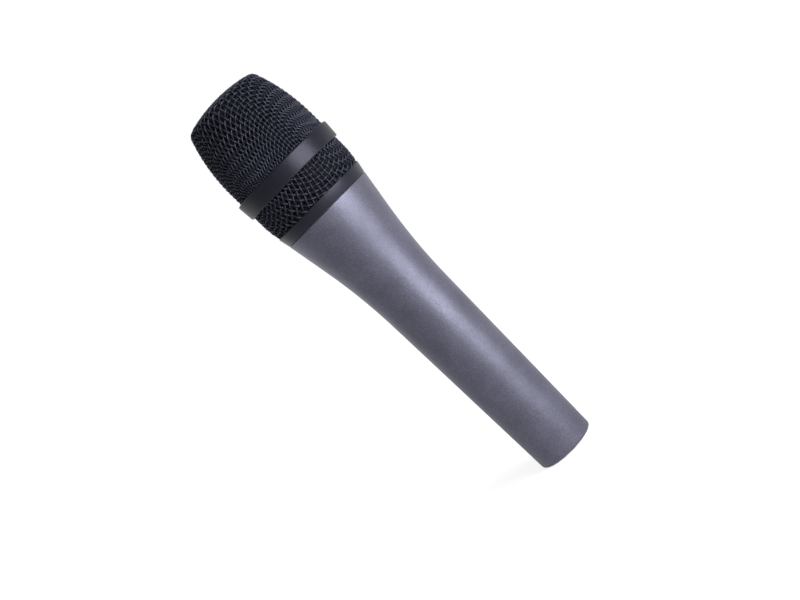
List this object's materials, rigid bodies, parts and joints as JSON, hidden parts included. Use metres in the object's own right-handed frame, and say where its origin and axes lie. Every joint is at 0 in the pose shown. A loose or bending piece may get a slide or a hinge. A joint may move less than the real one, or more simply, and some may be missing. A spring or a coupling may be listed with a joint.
{
  "type": "dynamic microphone",
  "caption": "Handheld vocal microphone: tapered flared body, unscrewing wire-mesh basket with a collar ring, floating moving-coil capsule and a recessed contact socket in the tail.",
  "frame": {"origin": "centre of the tail face", "axes": "+Z along the microphone's axis towards the basket; contacts 1 and 2 lie on the X axis and contact 3 on -Y"},
  "size_m": [0.046, 0.046, 0.187],
  "materials": {
    "body_paint": "satin blue-grey metallic lacquer",
    "mesh_black": "black-plated steel wire",
    "ring_black": "satin black",
    "foam": "open-cell foam",
    "rubber": "matt",
    "black_plastic": "moulded",
    "contact_metal": "plated",
    "steel": "machined",
    "alloy": "machined",
    "board": "laminate",
    "copper": "enamelled winding",
    "felt": "felt",
    "membrane": "thin film",
    "lead_red": "insulation",
    "lead_white": "insulation"
  },
  "bodies": {
    "handle": {"handle_shell": "body_paint", "connector_insert": "black_plastic", "contact_pin_1": "contact_metal", "contact_pin_2": "contact_metal", "contact_pin_3": "contact_metal", "insert_screw": "steel", "terminal_board": "board", "ground_spring": "steel", "signal_lead_hot": "lead_red", "signal_lead_cold": "lead_white", "lead_damper": "foam", "capsule_mount_ring": "alloy", "suspension_ring": "rubber"},
    "foam": {"foam_dome": "foam", "foam_sleeve": "foam"},
    "basket": {"front_grille": "mesh_black", "rear_grille": "mesh_black", "collar_ring": "ring_black", "grille_base_ring": "ring_black"},
    "capsule": {"capsule_housing": "black_plastic", "front_plate": "steel", "front_cloth": "felt", "rear_chamber": "black_plastic", "yoke": "steel", "magnet": "steel", "pole_piece": "steel", "hum_coil": "copper", "damping_felt": "felt"},
    "moving_coil": {"diaphragm": "membrane", "voice_coil": "copper"}
  },
  "joints": [
    {"name": "basket_rise", "type": "slide", "parent": "handle", "child": "foam", "axis": [0, 0, 1], "range_m": [0, 0.00401]},
    {"name": "basket_unscrew", "type": "hinge", "parent": "foam", "child": "basket", "pos_m": [0, 0, 0.132], "axis": [0, 0, 1], "range_deg": [0, 1440]},
    {"name": "capsule_float", "type": "slide", "parent": "handle", "child": "capsule", "axis": [0, 0, 1], "range_m": [-0.001, 0.001], "stiffness_N_per_m": 3500, "deforming": ["suspension_ring", "signal_lead_hot", "signal_lead_cold"]},
    {"name": "voice_coil_travel", "type": "slide", "parent": "capsule", "child": "moving_coil", "axis": [0, 0, 1], "range_m": [-0.0003, 0.0003], "stiffness_N_per_m": 130}
  ],
  "couplings": [
    {"joint": "basket_rise", "follows": "basket_unscrew", "m_per_rad": 0.00015915}
  ]
}
